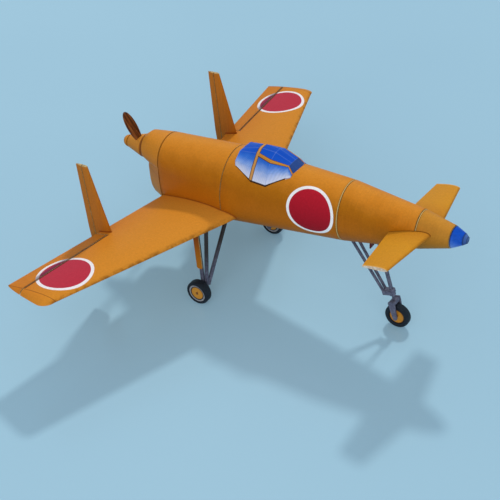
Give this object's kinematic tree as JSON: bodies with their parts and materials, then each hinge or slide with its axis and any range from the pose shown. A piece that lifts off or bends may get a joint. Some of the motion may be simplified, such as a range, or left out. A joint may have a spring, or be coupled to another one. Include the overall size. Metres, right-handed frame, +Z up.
{
  "type": "canard pusher aeroplane model",
  "caption": "Small card model of an orange canard pusher aeroplane with twin fins, blue canopy, a pusher propeller at the tail and a fixed tricycle undercarriage",
  "frame": {"origin": "on the ground under mid length, on the plane of symmetry: the bottom centre of the bounding box", "axes": "+X towards the nose, +Y to port, +Z up; the model stands on its three wheels, 1.85 degrees nose-up"},
  "size_m": [0.1322, 0.159, 0.0548],
  "materials": {
    "card_orange": "printed card, orange-yellow, satin",
    "card_blue": "printed card glazing, blue",
    "card_plain": "plain card, unprinted",
    "card_brown": "printed card, dark brown",
    "card_grey": "card rod, grey, satin",
    "tyre_black": "laminated card edge, black",
    "hub_orange": "printed card disc",
    "wire_steel": "bare wire",
    "card_red": "printed card, dark red",
    "lead_weight": "dull grey metal"
  },
  "bodies": {
    "airframe": {"axle_left": "wire_steel", "axle_right": "wire_steel", "canard_left": "card_orange", "canard_right": "card_orange", "canard_tab": "card_plain", "canopy": "card_blue", "cockpit_section": "card_orange", "fin_left": "card_orange", "fin_right": "card_orange", "former_canard": "card_plain", "former_cowl": "card_plain", "former_front": "card_plain", "former_glass": "card_plain", "former_wing": "card_plain", "forward_section": "card_orange", "front_strut_left": "card_grey", "front_strut_right": "card_grey", "gear_door_left": "card_orange", "gear_door_right": "card_orange", "leg_collar": "card_grey", "main_leg_left": "card_grey", "main_leg_right": "card_grey", "nose_brace_left": "card_grey", "nose_brace_right": "card_grey", "nose_door": "card_red", "nose_glazing": "card_blue", "nose_leg": "card_grey", "nose_section": "card_orange", "rear_section": "card_orange", "shaft_bush": "card_plain", "side_stay_left": "card_grey", "side_stay_right": "card_grey", "tail_cowl": "card_orange", "wing_left": "card_orange", "wing_right": "card_orange", "wing_spar": "card_plain"},
    "propeller": {"propeller_shaft": "wire_steel", "spinner_cone": "card_orange", "spinner_cap": "card_orange", "blade_1": "card_brown", "blade_2": "card_brown"},
    "main_wheel_left": {"tyre_left": "tyre_black", "wheel_disc_left": "hub_orange"},
    "main_wheel_right": {"tyre_right": "tyre_black", "wheel_disc_right": "hub_orange"},
    "nose_fork_swivel": {"sliding_leg": "card_grey", "nose_fork": "card_grey", "axle_nose": "wire_steel"},
    "nose_wheel": {"tyre_nose": "tyre_black", "wheel_disc_nose": "hub_orange"},
    "elevon_left": {"elevon_left": "card_orange"},
    "elevon_right": {"elevon_right": "card_orange"},
    "rudder_left": {"rudder_left": "card_orange"},
    "rudder_right": {"rudder_right": "card_orange"}
  },
  "joints": [
    {"name": "propeller_spin", "type": "hinge", "parent": "airframe", "child": "propeller", "pos_m": [-0.05797, 0, 0.03873], "axis": [0.9995, 0, 0.0323], "continuous": true},
    {"name": "main_wheel_left_spin", "type": "hinge", "parent": "airframe", "child": "main_wheel_left", "pos_m": [-0.01874, 0.0239, 0.00435], "axis": [0, 1, 0], "continuous": true},
    {"name": "main_wheel_right_spin", "type": "hinge", "parent": "airframe", "child": "main_wheel_right", "pos_m": [-0.01874, -0.0239, 0.00435], "axis": [0, 1, 0], "continuous": true},
    {"name": "nose_fork_steer", "type": "hinge", "parent": "airframe", "child": "nose_fork_swivel", "pos_m": [0.04228, 0, 0.01314], "axis": [-0.2949, 0, 0.9555], "range_deg": [-25, 25]},
    {"name": "nose_wheel_spin", "type": "hinge", "parent": "nose_fork_swivel", "child": "nose_wheel", "pos_m": [0.04499, 0, 0.00435], "axis": [0, 1, 0], "continuous": true},
    {"name": "elevon_left_hinge", "type": "hinge", "parent": "airframe", "child": "elevon_left", "pos_m": [-0.04508, 0.0585, 0.02829], "axis": [-0.0882, 0.9957, 0.0284], "range_deg": [-15, 15]},
    {"name": "elevon_right_hinge", "type": "hinge", "parent": "airframe", "child": "elevon_right", "pos_m": [-0.04508, -0.0585, 0.02829], "axis": [0.0882, 0.9957, -0.0284], "range_deg": [-15, 15]},
    {"name": "rudder_left_hinge", "type": "hinge", "parent": "airframe", "child": "rudder_left", "pos_m": [-0.05022, 0.0374, 0.03117], "axis": [-0.0898, 0, 0.996], "range_deg": [-18, 18]},
    {"name": "rudder_right_hinge", "type": "hinge", "parent": "airframe", "child": "rudder_right", "pos_m": [-0.05022, -0.0374, 0.03117], "axis": [-0.0898, 0, 0.996], "range_deg": [-18, 18]}
  ]
}
